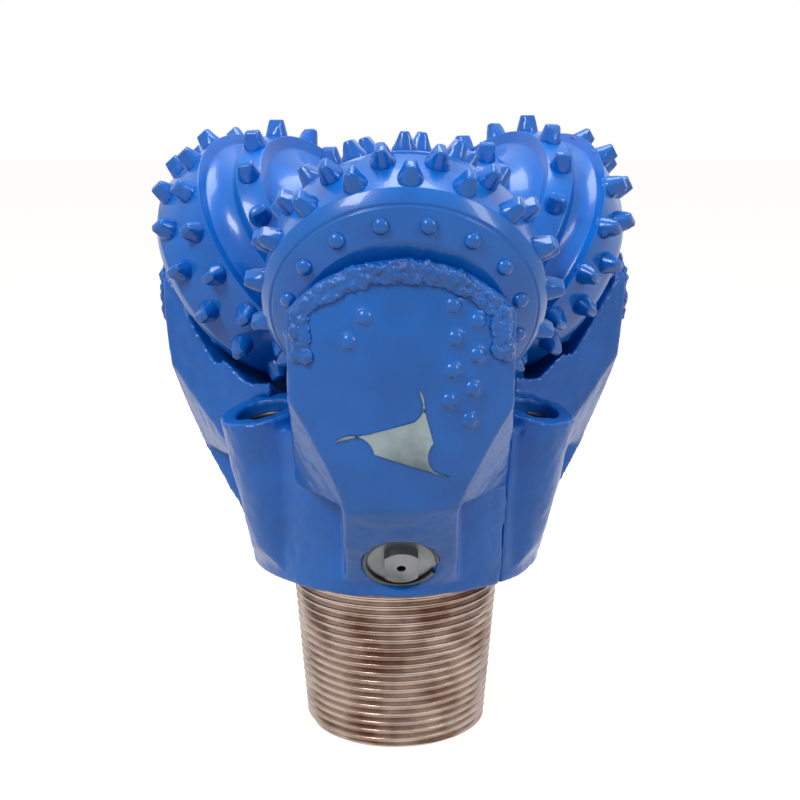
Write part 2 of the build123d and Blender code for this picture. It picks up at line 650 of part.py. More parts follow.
def cone_shell(cone):
    shell = revolve(Plane.XZ * make_face(shell_edges(cone)), Axis.Z, 360)
    race = Pos(0, 0, BALL_STATION) * Torus(BALL_CIRCLE, BALL_RADIUS + RUNNING)
    pockets = [place * chisel_pocket(row[5]) for row in gauge_rows(cone) + inner_rows(cone)
               for place in row_places(row)]
    heel = Pos(0, 0, -DOME_GRIP) * Cylinder(
        HEEL_RADIUS + FIT, DOME_GRIP + 6, align=(Align.CENTER, Align.CENTER, Align.MIN))
    pockets += [place * heel for place in heel_places()]
    return JOURNAL * (shell - race).cut(*pockets)


def inserts(rows):
    return Compound(children=[JOURNAL * place * chisel(row[5])
                              for row in rows for place in row_places(row)])


def heel_inserts():
    piece = domed_button(HEEL_RADIUS, DOME_GRIP, DOME_HEIGHT)
    return Compound(children=[JOURNAL * place * piece for place in heel_places()])


def rollers():
    middle = ROLLER_END - ROLLER_LENGTH / 2
    ring = JOURNAL_RADIUS + ROLLER_RADIUS + RUNNING
    piece = Cylinder(ROLLER_RADIUS, ROLLER_LENGTH)
    return Compound(children=[JOURNAL * Rot(0, 0, 360 * n / ROLLER_COUNT) * Pos(ring, 0, middle) * piece
                              for n in range(ROLLER_COUNT)])


def balls():
    piece = Sphere(BALL_RADIUS)
    return Compound(children=[JOURNAL * Rot(0, 0, 360 * n / BALL_COUNT)
                              * Pos(BALL_CIRCLE, 0, BALL_STATION) * piece for n in range(BALL_COUNT)])


def pilot_bushing():
    inner = PILOT_RADIUS + RUNNING
    length = PILOT_SHOULDER - PILOT_END - 1
    ring = Cylinder(inner + BUSHING_WALL, length) - Cylinder(inner, length)
    return JOURNAL * Pos(0, 0, PILOT_END + length / 2) * ring


def seal_ring():
    """O-ring between the journal's root and the cone."""
    return JOURNAL * Pos(0, 0, SEAL_STATION) * Torus(
        JOURNAL_ROOT_RADIUS + SEAL_RADIUS, SEAL_RADIUS - RUNNING)


# ---------------------------------------------------------------- assembly

def save(name, shape, azimuth):
    export_step(turned(solids_of(shape), azimuth), f"parts/{name}.step")


def main():
    os.makedirs("parts", exist_ok=True)
    once = {"leg": leg(), "leg_buttons": leg_buttons(), "ball_plug": ball_plug(),
            "hard_metal_bead": hard_metal_bead(), "nozzle": nozzle(), "nozzle_seal": nozzle_seal(),
            "nozzle_retainer": nozzle_retainer(), "reservoir_cup": reservoir_cup(),
            "diaphragm": diaphragm(), "reservoir_cap": reservoir_cap(),
            "cap_snap_ring": cap_snap_ring(), "heel_inserts": heel_inserts(), "rollers": rollers(),
            "balls": balls(), "pilot_bushing": pilot_bushing(), "seal_ring": seal_ring()}
    for number, azimuth in enumerate(LEG_AZIMUTHS, 1):
        for name, shape in once.items():
            save(f"{name}_{number}", shape, azimuth)
        cone = CONES[number - 1]
        save(f"cone_{number}", cone_shell(cone), azimuth)
        save(f"gauge_inserts_{number}", inserts(gauge_rows(cone)), azimuth)
        save(f"inner_inserts_{number}", inserts(inner_rows(cone)), azimuth)
    save("pin", pin(), 0)
    save("face_plate", plate(), LEG_AZIMUTHS[0])


main()
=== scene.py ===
# %% [markdown]
# # A tricone rock bit
# The bit stands on its threaded pin with its three toothed cones at the top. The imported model
# gives the frame: where each leg, cone and insert lies, in metres, with Z along the bit. Here
# the parts get their finish: thick blue enamel over forged steel, a bare machined thread, a
# plated cap and a brushed plate.

# %% Load the frame
import math

import bmesh
import bpy
from mathutils import Matrix, Vector, noise


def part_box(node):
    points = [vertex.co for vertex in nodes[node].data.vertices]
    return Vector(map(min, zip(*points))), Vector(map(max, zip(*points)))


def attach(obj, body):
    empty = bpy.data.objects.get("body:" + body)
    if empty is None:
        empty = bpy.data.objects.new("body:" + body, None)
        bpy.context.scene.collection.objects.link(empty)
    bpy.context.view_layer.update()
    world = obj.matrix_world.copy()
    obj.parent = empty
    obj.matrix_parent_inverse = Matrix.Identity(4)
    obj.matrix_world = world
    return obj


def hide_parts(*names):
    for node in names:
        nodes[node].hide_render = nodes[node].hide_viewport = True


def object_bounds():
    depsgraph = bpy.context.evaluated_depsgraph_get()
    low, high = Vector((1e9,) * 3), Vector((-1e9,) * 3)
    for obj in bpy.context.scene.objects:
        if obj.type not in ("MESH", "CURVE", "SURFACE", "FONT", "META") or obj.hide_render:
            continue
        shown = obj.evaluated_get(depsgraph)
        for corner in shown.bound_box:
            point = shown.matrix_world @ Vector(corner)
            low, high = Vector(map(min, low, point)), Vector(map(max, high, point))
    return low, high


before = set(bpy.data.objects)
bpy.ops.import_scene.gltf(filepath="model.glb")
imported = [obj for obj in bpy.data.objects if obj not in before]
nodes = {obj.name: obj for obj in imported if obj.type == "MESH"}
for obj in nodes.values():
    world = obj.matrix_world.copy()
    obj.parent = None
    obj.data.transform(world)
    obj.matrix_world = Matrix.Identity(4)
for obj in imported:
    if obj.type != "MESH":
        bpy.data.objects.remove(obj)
cad_box = [list(corner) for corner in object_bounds()]
MM = 0.001
LEGS = (1, 2, 3)
AZIMUTHS = {1: 270, 2: 30, 3: 150}
print("nodes", len(nodes), "box", cad_box)

# %% [markdown]
# The camera stands a little above the bit, in front of leg 1, and has a long lens. A long lens
# keeps the cones and the pin at nearly the same scale, so the body doesn't taper by perspective.

# %% Camera
CAMERA_SIDE = 0.0032
CAMERA_DISTANCE = 1.005
CAMERA_HEIGHT = 0.446
CAMERA_TILT = 11.55
CAMERA_LENS = 63.9
SENSOR_WIDTH = 36.0
camera = bpy.data.objects.new("camera", bpy.data.cameras.new("camera"))
bpy.context.scene.collection.objects.link(camera)
camera.data.sensor_width = SENSOR_WIDTH
camera.data.lens = CAMERA_LENS
camera.location = (CAMERA_SIDE, -CAMERA_DISTANCE, CAMERA_HEIGHT)
camera.rotation_euler = (math.radians(90 - CAMERA_TILT), 0, 0)
bpy.context.scene.camera = camera
print("camera at", tuple(camera.location))

# %% [markdown]
# Colours are written the way a paint chart gives them, as sRGB hex values, and Blender's shaders
# work in linear light. One function turns one into the other, and one function adds a node.

# %% Colours and nodes
def colour(code):
    """sRGB hex to linear RGBA."""
    parts = [int(code[k:k + 2], 16) / 255 for k in (1, 3, 5)]
    linear = [p / 12.92 if p <= 0.04045 else ((p + 0.055) / 1.055) ** 2.4 for p in parts]
    return (*linear, 1.0)


def add_node(tree, kind, settings=None, **links):
    """Adds a node, sets its attributes or inputs and links its named inputs."""
    made = tree.nodes.new(kind)
    for key, value in (settings or {}).items():
        if hasattr(made, key):
            setattr(made, key, value)
        else:
            made.inputs[key].default_value = value
    for key, source in links.items():
        tree.links.new(source, made.inputs[key.replace("_", " ")])
    return made


def new_material(name):
    """An empty material, its tree, and the place of a point in its object."""
    material = bpy.data.materials.new(name)
    material.use_nodes = True
    material.node_tree.nodes.clear()
    tree = material.node_tree
    place = add_node(tree, "ShaderNodeTexCoord").outputs["Object"]
    return material, tree, place


print("mid grey in linear light", colour("#808080")[0])

# %% [markdown]
# Every finish is built from the same few steps: a noise whose size is given in millimetres, a
# colour ramp, bumps stacked one on another, and a shader linked to the output.

# %% Parts of a finish
def cloud(tree, place, size_mm, detail, roughness=0.5):
    """Noise with its size in millimetres."""
    made = add_node(tree, "ShaderNodeTexNoise",
                    {"Scale": 1 / (size_mm * MM), "Detail": detail, "Roughness": roughness},
                    Vector=place)
    return made.outputs["Fac"]


def ramp(tree, factor, stops):
    """Colour ramp with (place, hex colour) stops."""
    made = add_node(tree, "ShaderNodeValToRGB", Fac=factor)
    for element, (place, code) in zip(made.color_ramp.elements, stops):
        element.position = place
        element.color = colour(code)
    return made.outputs["Color"]


def bumped(tree, height, strength, depth_mm, under=None):
    """Bump from a height, on top of an earlier bump if there is one."""
    made = add_node(tree, "ShaderNodeBump", {"Strength": strength, "Distance": depth_mm * MM},
                    Height=height)
    if under is not None:
        tree.links.new(under, made.inputs["Normal"])
    return made.outputs["Normal"]


def finish(material, tree, shader, bump=None):
    """Links the shader to the output, with its bump if there is one."""
    if bump is not None:
        tree.links.new(bump, shader.inputs["Normal"])
    out = add_node(tree, "ShaderNodeOutputMaterial")
    tree.links.new(shader.outputs[0], out.inputs["Surface"])
    return material


print("finish parts ready")

# %% [markdown]
# The whole bit is sprayed with thick gloss enamel. On the machined cones it flows out smooth. On
# the forged legs it follows the forging's pits, so the same blue looks rougher there. Sizes are
# real ones: waves of thick paint about 11 mm, pits about 2.4 mm, grains about 5 mm apart.

# %% Enamel
TINT_MM = 38
WAVE_MM = 11
GRAIN_MM = 5
GLOSS = {"Coat Weight": 0.25, "Coat Roughness": 0.05, "IOR": 1.45, "Specular IOR Level": 0.36}


def enamel(name, base, dark, pits_mm, pits, rough, wave=0.25):
    """Gloss paint with slow changes of tint, waves, pits of a given size, and fine grains."""
    material, tree, place = new_material(name)
    tint = ramp(tree, cloud(tree, place, TINT_MM, 3.0), ((0.32, dark), (0.66, base)))
    normal = bumped(tree, cloud(tree, place, WAVE_MM, 1.0), wave, 0.5)
    normal = bumped(tree, cloud(tree, place, pits_mm, 4.0, 0.6), pits, 0.8, normal)
    cells = add_node(tree, "ShaderNodeTexVoronoi", {"Scale": 1 / (GRAIN_MM * MM)}, Vector=place)
    grain = add_node(tree, "ShaderNodeMapRange",
                     {"From Min": 0.05, "From Max": 0.16, "To Min": 1.0, "To Max": 0.0},
                     Value=cells.outputs["Distance"])
    normal = bumped(tree, grain.outputs["Result"], 0.5 * pits + 0.08, 0.3, normal)
    shader = add_node(tree, "ShaderNodeBsdfPrincipled", {"Roughness": rough, **GLOSS},
                      Base_Color=tint)
    tree.links.new(normal, shader.inputs["Coat Normal"])
    return finish(material, tree, shader, normal)


forged_enamel = enamel("enamel_on_forging", "#0668c6", "#055bb2", 2.4, 0.30, 0.34)
turned_enamel = enamel("enamel_on_turned_steel", "#086cca", "#0662bd", 8.0, 0.04, 0.28, 0.12)
carbide_enamel = enamel("enamel_on_carbide", "#076ac8", "#055eb6", 4.0, 0.06, 0.24, 0.10)
weld_enamel = enamel("enamel_on_weld", "#0768c6", "#0456a8", 1.8, 0.6, 0.18, 0.5)
print("enamels ready")

# %% [markdown]
# The pin is bare turned steel under a thin film of oil. Turning leaves fine rings round the pin,
# which stretch highlights, and handling leaves warm stains. The thread's flanks and crests come
# from real geometry, so the material only adds the fine rings and the stains.

# %% Bare metals and rubber
STAIN_MM = 30
EVEN = (1, 1, 1)
ROUND_PIN = (0.2, 0.2, 3.0)
ALONG_PLATE = (0.05, 1, 1)


def bare_metal(name, base, dark, rough, grain_mm, stretch, strength):
    """Unpainted metal: fine grain, stretched along the tool's path, and slow stains."""
    material, tree, place = new_material(name)
    mapped = add_node(tree, "ShaderNodeMapping", {"Scale": stretch}, Vector=place)
    grain = cloud(tree, mapped.outputs["Vector"], grain_mm, 3.0)
    tint = ramp(tree, cloud(tree, place, STAIN_MM, 4.0), ((0.35, dark), (0.62, base)))
    normal = bumped(tree, grain, strength, 0.1)
    shader = add_node(tree, "ShaderNodeBsdfPrincipled", {"Roughness": rough, "Metallic": 1.0},
                      Base_Color=tint)
    return finish(material, tree, shader, normal)


turned_steel = bare_metal("turned_steel", "#b9aaa0", "#8b7467", 0.22, 0.5, ROUND_PIN, 0.25)
plated_steel = bare_metal("zinc_plated_steel", "#85888b", "#5f6366", 0.38, 0.8, EVEN, 0.2)
brushed_steel = bare_metal("brushed_steel_plate", "#84949a", "#5c686c", 0.36, 0.5, ALONG_PLATE,
                           0.35)
ground_steel = bare_metal("ground_steel", "#c4c6c8", "#aeb0b3", 0.22, 0.4, EVEN, 0.1)
oiled_wire = bare_metal("oiled_spring_wire", "#5a5d61", "#3d4044", 0.35, 0.6, EVEN, 0.1)
bare_carbide = bare_metal("sintered_carbide", "#8a8d92", "#75787d", 0.38, 0.3, EVEN, 0.2)
turned_bronze = bare_metal("turned_bronze", "#c69a5a", "#a87c42", 0.3, 0.5, EVEN, 0.15)

rubber, tree, place = new_material("nitrile_rubber")
shader = add_node(tree, "ShaderNodeBsdfPrincipled",
                  {"Base Color": colour("#1b1b1c"), "Roughness": 0.55})
finish(rubber, tree, shader, bumped(tree, cloud(tree, place, 0.8, 2.0), 0.1, 0.1))
print("metals and rubber ready")

# %% [markdown]
# Each kind of part has one finish. Parts that scene pieces stand in for later get theirs too, so
# that none is ever left without.

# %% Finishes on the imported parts
FINISHES = {
    "leg": forged_enamel, "ball_plug": forged_enamel, "leg_buttons": carbide_enamel,
    "cone": turned_enamel, "gauge_inserts": carbide_enamel, "inner_inserts": carbide_enamel,
    "heel_inserts": carbide_enamel, "hard_metal_bead": weld_enamel, "pin": turned_steel,
    "face_plate": brushed_steel, "nozzle": bare_carbide, "nozzle_seal": rubber,
    "nozzle_retainer": oiled_wire, "reservoir_cup": ground_steel, "diaphragm": rubber,
    "reservoir_cap": plated_steel, "cap_snap_ring": oiled_wire, "rollers": ground_steel,
    "balls": ground_steel, "pilot_bushing": turned_bronze, "seal_ring": rubber,
}
for name, node in nodes.items():
    kind = name.rstrip("_123")
    node.data.materials.clear()
    node.data.materials.append(FINISHES[kind])
print("finishes on", len(nodes), "nodes")

# %% [markdown]
# Every new piece ends the same way: its bmesh becomes a mesh, its object stays at the origin, and
# it rides on its body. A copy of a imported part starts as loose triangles, so its doubles are
# merged. A few drawing steps come back again and again: a line of edges, a ring, a flat cut.

# %% Helpers for pieces
def make_piece(bm, name, material, body, slot, sharp_angle, *replaced):
    """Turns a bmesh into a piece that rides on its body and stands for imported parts."""
    mesh = bpy.data.meshes.new(name)
    bm.to_mesh(mesh)
    bm.free()
    piece = bpy.data.objects.new(name, mesh)
    bpy.context.scene.collection.objects.link(piece)
    mesh.materials.append(material)
    mesh.shade_smooth()
    if sharp_angle:
        mesh.set_sharp_from_angle(angle=math.radians(sharp_angle))
    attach(piece, body)
    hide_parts(*replaced)
    print(name, len(mesh.polygons), "faces")


def copy_of(name):
    """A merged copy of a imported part."""
    bm = bmesh.new()
    bm.from_mesh(nodes[name].data)
    bmesh.ops.remove_doubles(bm, verts=bm.verts, dist=0.002 * MM)
    return bm


def join(bm, other):
    """Adds another bmesh to the first, and frees it."""
    mesh = bpy.data.meshes.new("joined")
    other.to_mesh(mesh)
    other.free()
    bm.from_mesh(mesh)
    bpy.data.meshes.remove(mesh)


def draw_line(bm, verts):
    """Edges from each vertex to the next."""
    return [bm.edges.new(pair) for pair in zip(verts, verts[1:])]


def ring(bm, radius, height, count):
    """Edges of a circle round Z."""
    made = bmesh.ops.create_circle(bm, segments=count, radius=radius * MM,
                                   matrix=Matrix.Translation((0, 0, height * MM)))
    return list({e for v in made["verts"] for e in v.link_edges})


def cut(bm, place, normal, clear=False):
    """Cuts every face by a plane, and clears what lies beyond it if asked."""
    bmesh.ops.bisect_plane(bm, geom=bm.verts[:] + bm.edges[:] + bm.faces[:], plane_co=place,
                           plane_no=normal, clear_outer=clear)


print("piece helpers ready")

# %% [markdown]
# Thick paint rounds every edge and fills every joint. Rebuilding a closed surface on an even grid
# and smoothing it does the same. Scale and pits are then pressed in along the normals.

# %% Helpers for rough surfaces
SOFTEN = 0.5
FRACTAL = (1.0, 2.0, 3)


def remeshed(bm, voxel, rounds):
    """The closed surface rebuilt on an even grid and smoothed."""
    mesh = bpy.data.meshes.new("rough")
    bm.to_mesh(mesh)
    bm.free()
    rough = bpy.data.objects.new("rough", mesh)
    bpy.context.scene.collection.objects.link(rough)
    grid = rough.modifiers.new("grid", "REMESH")
    grid.mode = "VOXEL"
    grid.voxel_size = voxel * MM
    soften = rough.modifiers.new("soften", "SMOOTH")
    soften.factor = SOFTEN
    soften.iterations = rounds
    made = rough.evaluated_get(bpy.context.evaluated_depsgraph_get()).to_mesh()
    out = bmesh.new()
    out.from_mesh(made)
    bpy.data.objects.remove(rough)
    return out


def roughen(bm, size_mm, depth_mm, seed, where=None):
    """Moves each vertex along its normal by fractal noise."""
    bm.normal_update()
    moves = []
    for vert in bm.verts:
        if where is None or where(vert.co):
            spot = vert.co / (size_mm * MM) + Vector((seed, seed * 2.3, seed * 4.1))
            amount = noise.fractal(spot, *FRACTAL) * depth_mm * MM
            moves.append((vert, vert.normal * amount))
    for vert, move in moves:
        vert.co += move


print("noise in", FRACTAL[2], "octaves")

# %% [markdown]
# A leg's back is turned to the bit's gauge: straight at the shirttail, and an arc below it. What
# lies on the back, such as the weld and the plate, is placed by height and by the way round.

# %% The leg's back
LEG_CENTRE = 4.0
BACK_TOP = (168.0, 326.0)
BACK_MIDDLE = (161.5, 257.0)
BACK_BEND = (148.0, 200.0)
BACK_MARGIN = 1.5


def circle_through(a, b, c):
    """Centre and radius of the circle through three points."""
    p, q = Vector(b) - Vector(a), Vector(c) - Vector(a)
    area = 2 * (p.x * q.y - p.y * q.x)
    centre = Vector((q.y * p.length_squared - p.y * q.length_squared,
                     p.x * q.length_squared - q.x * p.length_squared)) / area
    return Vector(a) + centre, centre.length


BACK_CENTRE, BACK_ARC = circle_through(BACK_BEND, BACK_MIDDLE, BACK_TOP)
print("the leg's back is an arc of", round(BACK_ARC), "mm")


def back_radius(height):
    """Radius of the back at a height."""
    if height >= BACK_TOP[1]:
        return BACK_TOP[0]
    return BACK_CENTRE.x + math.sqrt(BACK_ARC ** 2 - (height - BACK_CENTRE.y) ** 2)


def on_flanks(spot):
    """True away from the machined back of a leg."""
    skin = back_radius(max(BACK_BEND[1], spot.z / MM))
    return spot.xy.length < (skin - BACK_MARGIN) * MM


def back_place(leg, side, height, lift=0.0):
    """Matrix that stands a piece on the leg's back, with Z outwards."""
    radius = back_radius(height)
    turn = math.radians(AZIMUTHS[leg]) + (side + LEG_CENTRE) / radius
    out = Matrix.Translation(((radius + lift) * MM, 0, height * MM))
    return Matrix.Rotation(turn, 4, "Z") @ out @ Matrix.Rotation(math.pi / 2, 4, "Y")


# %% [markdown]
# A leg is a rough forging with machined faces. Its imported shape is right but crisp, so copies of
# the leg, its ball plug and its buttons are joined, rebuilt on an even grid and smoothed: paint
# then fills the joint round each of them. The buttons' own domes still stand in it, and a thin
# ring of weld holds the plug. Only the flanks keep the forging's scale and pits.

# %% Legs
PLUG_RADIUS = 11.2
RING_DROPS = 40
RING_DEPTH = 0.5
LEG_GRID = 2.0
LEG_SMOOTHING = 3
FLANK_SCALE = (30.0, 0.9)
FLANK_PITS = (8.0, 0.35)
PAINT_WAVES = (16.0, 0.12)


def weld_ring(leg, height):
    """Ring of small overlapping beads round the ball plug's head."""
    bm = bmesh.new()
    place = back_place(leg, 0, height, -RING_DEPTH)
    for number in range(RING_DROPS):
        angle = math.tau * number / RING_DROPS
        size = 0.9 + 0.5 * noise.random()
        across = PLUG_RADIUS * MM * math.cos(angle)
        along = PLUG_RADIUS * MM * math.sin(angle)
        spot = Matrix.Translation(place @ Vector((across, along, 0)))
        bmesh.ops.create_icosphere(bm, subdivisions=1, radius=size * MM, matrix=spot)
    return bm


for leg in LEGS:
    noise.seed_set(leg)
    bm = copy_of(f"leg_{leg}")
    plug_low, plug_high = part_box(f"ball_plug_{leg}")
    join(bm, copy_of(f"ball_plug_{leg}"))
    join(bm, copy_of(f"leg_buttons_{leg}"))
    join(bm, weld_ring(leg, (plug_low[2] + plug_high[2]) / 2 / MM))
    bm = remeshed(bm, LEG_GRID, LEG_SMOOTHING)
    roughen(bm, *FLANK_SCALE, leg, on_flanks)
    roughen(bm, *FLANK_PITS, leg + 3, on_flanks)
    roughen(bm, *PAINT_WAVES, leg + 7)
    make_piece(bm, f"leg_forging_{leg}", forged_enamel, "bit_body", "blue_paint", 0, f"leg_{leg}",
               f"ball_plug_{leg}")

# %% [markdown]
# The plate is thin sheet, bent to the leg's back. Its outline is drawn flat from three corner
# arcs, given its thickness with a small bevel, and then each vertex is laid on the curved back.
# A triangle with round corners is meant. Known fault: each arc turns the wrong way round and runs
# into the sheet, so the outline crosses itself. The sign of turn is what to change.

# %% Plate
PLATE_CORNERS = ((-61.0, 222.7), (61.0, 222.7), (0.0, 293.0))
PLATE_ROUND = 14.0
PLATE_SHEET = 0.9
PLATE_BEVEL = 0.35
PLATE_LIFT = 0.15
ARC_STEPS = 10
CUT_HEIGHTS = range(226, 292, 4)
CUT_SIDES = range(-44, 45, 8)


def corner_arc(corner, before, after, radius):
    """Points of an arc on the circle that touches both sides of a corner."""
    spot = Vector(corner)
    a = (Vector(before) - spot).normalized()
    b = (Vector(after) - spot).normalized()
    half = a.angle(b) / 2
    centre = spot + (a + b).normalized() * radius / math.sin(half)
    first = spot + a * radius / math.tan(half) - centre
    sweep = math.pi - 2 * half
    turn = 1 if first.cross(b) > 0 else -1
    return [centre + Matrix.Rotation(turn * sweep * k / ARC_STEPS, 2) @ first
            for k in range(ARC_STEPS + 1)]


bm = bmesh.new()
outline = []
for number, corner in enumerate(PLATE_CORNERS):
    neighbours = PLATE_CORNERS[number - 1], PLATE_CORNERS[(number + 1) % 3]
    outline += corner_arc(corner, *neighbours, PLATE_ROUND)
bm.faces.new([bm.verts.new((spot.x * MM, spot.y * MM, 0)) for spot in outline])
for height in CUT_HEIGHTS:
    cut(bm, (0, height * MM, 0), (0, 1, 0))
for side in CUT_SIDES:
    cut(bm, (side * MM, 0, 0), (1, 0, 0))
raised_part = bmesh.ops.extrude_face_region(bm, geom=bm.faces[:])["geom"]
for vert in [v for v in raised_part if isinstance(v, bmesh.types.BMVert)]:
    vert.co.z = PLATE_SHEET * MM
bmesh.ops.recalc_face_normals(bm, faces=bm.faces)
crease = [e for e in bm.edges if all(v.co.z > 0.5 * PLATE_SHEET * MM for v in e.verts)
          and e.calc_face_angle(0) > 1]
bmesh.ops.bevel(bm, geom=crease, offset=PLATE_BEVEL * MM, offset_type="OFFSET", segments=2,
                profile=0.5, affect="EDGES", material=-1)
for vert in bm.verts:
    side, height, lift = (value / MM for value in vert.co)
    vert.co = back_place(1, side, height, lift + PLATE_LIFT).translation
make_piece(bm, "bare_plate", brushed_steel, "bit_body", "brushed_plate", 30, "face_plate")

# %% [markdown]
# The pin is a taper thread: four turns to the inch on a cone of one in six on the diameter. One
# turn's outline is spun with a rise for each step, which gives a true helix, and then each vertex
# moves out with its height, which gives the taper. The ends are cut flat.

# %% Pin's thread
SHOULDER = 127.0
PITCH = 6.35
CREST_END = 65.52
THREAD_HEIGHT = 3.75
CREST_ROUND = 0.25
ROOT = CREST_END - THREAD_HEIGHT
TAPER = 1 / 12
THREAD_TOP = 119.0
STEPS = 72
TURNS = 20

bm = bmesh.new()
outline = [(ROOT, 0.0), (ROOT, 0.9), (CREST_END - CREST_ROUND, 2.75), (CREST_END, 3.0),
           (CREST_END, 3.9), (CREST_END - CREST_ROUND, 4.2), (ROOT, 6.0), (ROOT, PITCH)]
points = [bm.verts.new((r * MM, 0, (z - PITCH) * MM)) for r, z in outline]
edges = draw_line(bm, points)
bmesh.ops.spin(bm, geom=points + edges, cent=(0, 0, 0), axis=(0, 0, 1),
               dvec=(0, 0, PITCH / STEPS * MM), angle=math.tau * TURNS, steps=STEPS * TURNS)
bmesh.ops.remove_doubles(bm, verts=bm.verts, dist=0.01 * MM)
for vert in bm.verts:
    radius = vert.co.xy.length
    vert.co.xy *= (radius + vert.co.z * TAPER) / radius
for height, side in ((0.0, -1), (THREAD_TOP, 1)):
    cut(bm, (0, 0, height * MM), (0, 0, side), True)
print("thread", len(bm.faces), "faces")

# %% [markdown]
# The thread's cut ends are bridged to the pin's plain collar and on to the water bore, which
# closes the pin. Its first turns are turned down to a chamfer, so that it finds its box.

# %% Pin's body
BORE = 44.45
BORE_CHAMFER = 1.5
COLLAR_RADIUS = 75.8
RUN_OUT = 0.8
RING_COUNT = 96
CHAMFER_HEIGHT = 3
CHAMFER_DEPTH = 1
CHAMFER_SLOPE = 1.4
OUTSIDE = 60


def border(bm, height):
    """Open edges at a height."""
    return [e for e in bm.edges if e.is_boundary
            and all(abs(v.co.z - height * MM) < 1e-7 for v in e.verts)]


top = border(bm, THREAD_TOP)
foot = border(bm, 0.0)
PROFILE = ((COLLAR_RADIUS, THREAD_TOP + RUN_OUT), (COLLAR_RADIUS, SHOULDER), (BORE, SHOULDER),
           (BORE, BORE_CHAMFER), (BORE + BORE_CHAMFER, 0.0))
chain = [top] + [ring(bm, radius, height, RING_COUNT) for radius, height in PROFILE] + [foot]
for a, b in zip(chain, chain[1:]):
    bmesh.ops.bridge_loops(bm, edges=a + b)
bmesh.ops.recalc_face_normals(bm, faces=bm.faces)
for vert in bm.verts:
    if vert.co.z < CHAMFER_HEIGHT * MM and vert.co.xy.length > OUTSIDE * MM:
        limit = (ROOT - CHAMFER_DEPTH + vert.co.z / MM * CHAMFER_SLOPE) * MM
        if vert.co.xy.length > limit:
            vert.co.xy *= limit / vert.co.xy.length
make_piece(bm, "threaded_pin", turned_steel, "bit_body", "turned_steel", 30, "pin")

# %% [markdown]
# A cone shell is turned on a lathe: lands that carry the inserts, and round grooves that the
# neighbours' inserts run in. Its outline is drawn once, as station along the journal and radius.
# Stations fall from the back towards the nose. Each row gives its count, station, radius and size.

# %% Cone outline
JOURNAL_ANGLE = math.radians(33.3)
BACK = [(161.0, 49.0), (161.0, 63.5), (153.2, 82.2), (151.4, 82.6), (151.6, 84.4), (143.7, 89.6)]
GAUGE_END = {1: (108.0, 88.0), 2: (111.5, 101.0), 3: (98.0, 91.5)}
ROWS = {1: [(16, 93.0, 80.0, 1.0), (11, 58.7, 57.1, 1.0), (4, 24.0, 17.3, 0.7)],
        2: [(15, 83.2, 84.2, 1.0), (9, 50.1, 46.0, 1.0)],
        3: [(13, 68.5, 70.8, 1.0), (6, 34.9, 28.0, 1.0)]}
NOSE = {1: (10.5, 6.0), 2: (33.5, 28.0), 3: (18.3, 10.0)}
NOSE_PROFILE = ((4, 1), (0.4, 0.86), (-1, 0.5))
INSIDE = [(61.6, 28.1), (83.6, 28.1), (83.6, 42.0), (107.6, 47.0), (107.6, 54.1), (144.4, 54.1),
          (144.4, 49.0)]
LAND_HALF_WIDTH = 9.1
GROOVE_DEPTH = 9.4
FULL_DEPTH_RUN = 24
GROOVE_POINTS = 11
GROOVE_START = 0.14
GROOVE_SHARE = 0.72
WALL_SHARE = 0.78
FLOOR_SHARE = 0.22


def land_ends(leg):
    """Outer and inner end of each land, from the gauge land to the nose."""
    ends = [(BACK[-1], GAUGE_END[leg])]
    for count, station, radius, size in ROWS[leg]:
        along = LAND_HALF_WIDTH * size * math.cos(JOURNAL_ANGLE)
        rise = LAND_HALF_WIDTH * size * math.sin(JOURNAL_ANGLE)
        ends.append(((station + along, radius + rise), (station - along, radius - rise)))
    return ends


def groove_points(start, end):
    """Round-bottomed groove between two lands: a steep wall, a round floor, a steep wall."""
    a, b = Vector(start), Vector(end)
    run = b - a
    down = Vector((run.y, -run.x)).normalized()
    if down.y > 0:
        down = -down
    depth = GROOVE_DEPTH * min(1, run.length / FULL_DEPTH_RUN)
    made = []
    for k in range(GROOVE_POINTS):
        share = GROOVE_START + GROOVE_SHARE * k / (GROOVE_POINTS - 1)
        arc = 1 - (2 * k / (GROOVE_POINTS - 1) - 1) ** 2
        made.append(tuple(a + run * share + down * depth * (WALL_SHARE + FLOOR_SHARE * arc)))
    return made


def cone_outline(leg):
    """Shell outline from the back lip over the lands to the nose."""
    path = list(BACK)
    ends = land_ends(leg)
    for number, (outer, inner) in enumerate(ends):
        if number:
            path += groove_points(ends[number - 1][1], outer) + [outer]
        path.append(inner)
    station, radius = NOSE[leg]
    return path + [(station + along, radius * share) for along, share in NOSE_PROFILE]


print("lands", {leg: len(land_ends(leg)) for leg in LEGS})

# %% [markdown]
# The outline is spun round the journal's axis. Its corners are bevelled first, because the turner
# breaks them and the paint rounds them more. Known fault: the matrix that carries a cone to its
# journal mirrors, so the shells and their inserts come out with their faces inwards.

# %% Cone shells
JOURNAL_HEIGHT = 406.0
CONE_OFFSET = 6.0
CORNER_WIDTH = 1.1
CORNER_ANGLE = 18
SPIN_STEPS = 120


def cone_frame(leg):
    """Matrix from (X towards the top, Y sideways, Z outwards along the journal) to the bit."""
    turn = Matrix.Rotation(math.radians(AZIMUTHS[leg]), 4, "Z")
    sin_j, cos_j = math.sin(JOURNAL_ANGLE), math.cos(JOURNAL_ANGLE)
    tilt = Matrix(((sin_j, 0, cos_j, 0), (0, 1, 0, CONE_OFFSET * MM),
                   (cos_j, 0, -sin_j, JOURNAL_HEIGHT * MM), (0, 0, 0, 1)))
    return turn @ tilt


